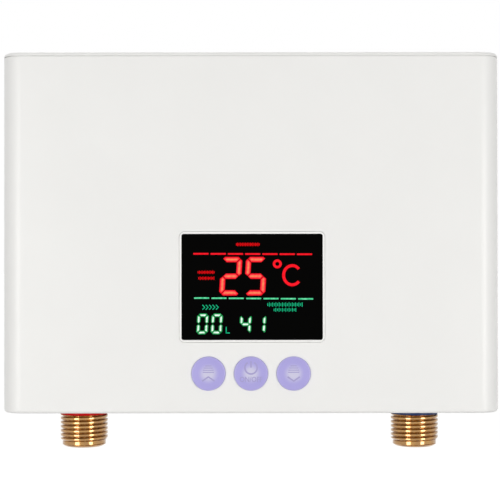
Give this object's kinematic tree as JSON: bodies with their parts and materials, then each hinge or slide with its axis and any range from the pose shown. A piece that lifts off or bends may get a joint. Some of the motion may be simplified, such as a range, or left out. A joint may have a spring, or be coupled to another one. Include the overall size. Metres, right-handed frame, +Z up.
{
  "type": "tankless water heater",
  "caption": "Wall-mounted electric tankless water heater with a front display, round push buttons and threaded water connections underneath.",
  "frame": {"origin": "middle of the rear wall face, which lies against the wall", "axes": "+Z up, +Y into the wall, +X to the right as seen from the front; the front faces -Y"},
  "size_m": [0.212, 0.0613, 0.1707],
  "materials": {
    "cover_white": "satin white moulded ABS, very fine texture",
    "plate_white": "matt white moulded ABS",
    "rubber_dark": "matt black rubber",
    "lens_black": "polished acrylic, printed black behind with a white border",
    "button_lilac": "translucent lilac silicone-coated cap, satin",
    "steel": "zinc plated or stainless, brushed",
    "brass": "machined brass, fine turning marks",
    "copper": "drawn copper",
    "aluminium": "sawn and milled",
    "nylon_natural": "natural nylon",
    "board_green": "glass-fibre board with green solder resist",
    "plastic_dark": "matt black moulding",
    "plastic_grey": "pale grey plastic",
    "bobbin_yellow": "varnished core and taped winding",
    "wire_red": "silicone insulation",
    "wire_brown": "silicone insulation",
    "wire_green": "green and yellow insulation",
    "ring_blue": "dark blue moulded ring",
    "ring_red": "red moulded ring",
    "pin_red": "red moulded pin"
  },
  "bodies": {
    "heater_body": {"front_cover": "cover_white", "rear_plate": "plate_white", "housing_seal": "rubber_dark", "display_lens": "lens_black", "cable_grommet": "rubber_dark", "case_screw_1": "steel", "case_screw_2": "steel", "case_screw_3": "steel", "case_screw_4": "steel", "display_board": "board_green", "led_display": "plastic_dark", "tact_switch_up": "plastic_dark", "tact_switch_power": "plastic_dark", "tact_switch_down": "plastic_dark", "display_board_screw_1": "steel", "display_board_screw_2": "steel", "control_board": "board_green", "relay": "plastic_dark", "transformer": "bobbin_yellow", "terminal_block": "nylon_natural", "triac": "plastic_dark", "triac_heat_sink": "aluminium", "control_board_screw_1": "steel", "control_board_screw_2": "steel", "load_lead": "wire_red", "live_lead": "wire_brown", "earth_wire": "wire_green", "ribbon_cable": "plastic_grey", "inlet_connector": "brass", "outlet_connector": "brass", "inlet_ring": "ring_blue", "outlet_ring": "ring_red", "inlet_backnut": "brass", "outlet_backnut": "brass", "connector_bracket": "steel", "inlet_filter": "steel", "flow_sensor_body": "plastic_dark", "rotor_shaft": "steel", "hall_sensor": "plastic_dark", "inlet_pipe": "copper", "outlet_pipe": "copper", "temperature_sensor": "brass", "heater_tank": "copper", "tank_cap_left": "brass", "tank_cap_right": "brass", "heating_element": "steel", "tank_strap_left": "steel", "tank_strap_right": "steel", "strap_screw_left": "steel", "strap_screw_right": "steel", "thermal_cutout": "plastic_dark"},
    "up_button": {"button_up": "button_lilac", "switch_plunger_up": "plastic_grey"},
    "power_button": {"button_power": "button_lilac", "switch_plunger_power": "plastic_grey"},
    "down_button": {"button_down": "button_lilac", "switch_plunger_down": "plastic_grey"},
    "rotor": {"flow_rotor": "nylon_natural"},
    "reset_pin": {"cutout_reset_pin": "pin_red"}
  },
  "joints": [
    {"name": "up_button_press", "type": "slide", "parent": "heater_body", "child": "up_button", "axis": [0, 1, 0], "range_m": [0, 0.0008], "stiffness_N_per_m": 800, "springref_m": -0.001},
    {"name": "power_button_press", "type": "slide", "parent": "heater_body", "child": "power_button", "axis": [0, 1, 0], "range_m": [0, 0.0008], "stiffness_N_per_m": 800, "springref_m": -0.001},
    {"name": "down_button_press", "type": "slide", "parent": "heater_body", "child": "down_button", "axis": [0, 1, 0], "range_m": [0, 0.0008], "stiffness_N_per_m": 800, "springref_m": -0.001},
    {"name": "rotor_spin", "type": "hinge", "parent": "heater_body", "child": "rotor", "pos_m": [0.0725, -0.03, -0.03845], "axis": [0, 0, 1], "continuous": true},
    {"name": "reset_pin_travel", "type": "slide", "parent": "heater_body", "child": "reset_pin", "axis": [-1, 0, 0], "range_m": [0, 0.0015]}
  ]
}
